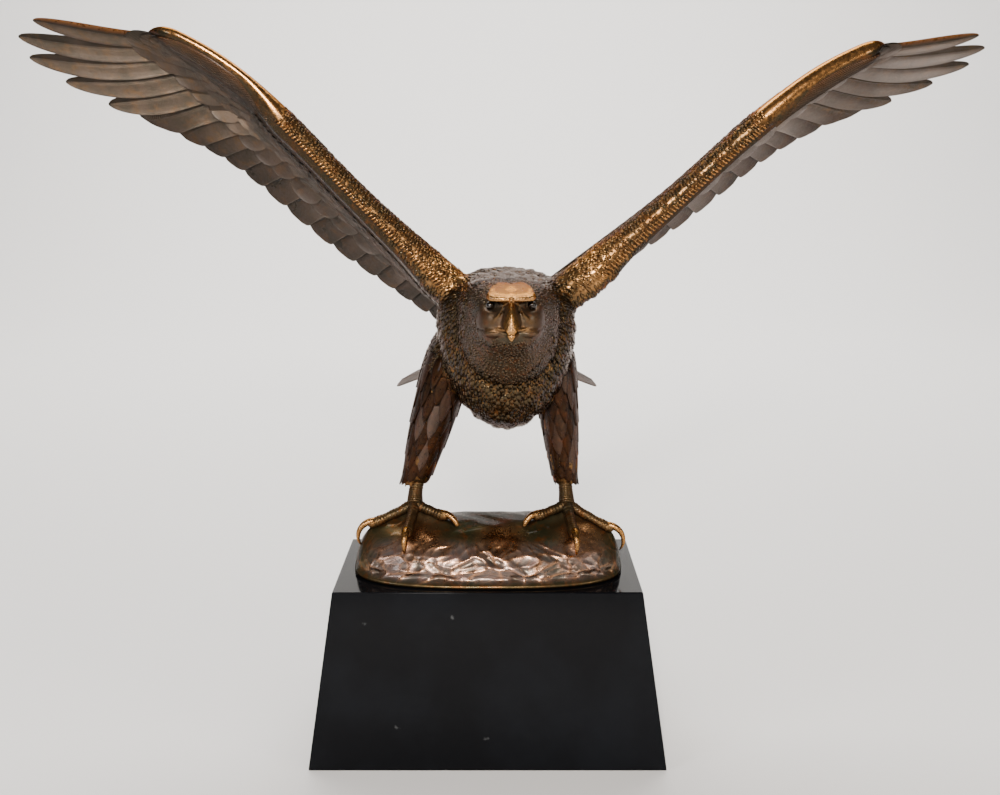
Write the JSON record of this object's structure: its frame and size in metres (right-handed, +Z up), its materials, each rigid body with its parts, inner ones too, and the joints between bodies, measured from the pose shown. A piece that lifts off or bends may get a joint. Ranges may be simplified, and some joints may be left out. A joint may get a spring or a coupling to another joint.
{
  "type": "bronze eagle statue",
  "caption": "Cast bronze eagle with raised wings gripping a rock, fixed on a tapered black marble plinth, for display on a shelf or table.",
  "frame": {"origin": "centre of the plinth's underside", "axes": "+Z up, the eagle's beak points to -Y, its raised wings reach along -X and +X"},
  "size_m": [0.6469, 0.2918, 0.4755],
  "materials": {
    "bronze": "dark brown patina, rubbed to copper on the high edges",
    "marble": "polished black, lightly worn"
  },
  "bodies": {
    "root": {"eagle": "bronze", "plinth": "marble"}
  },
  "joints": []
}
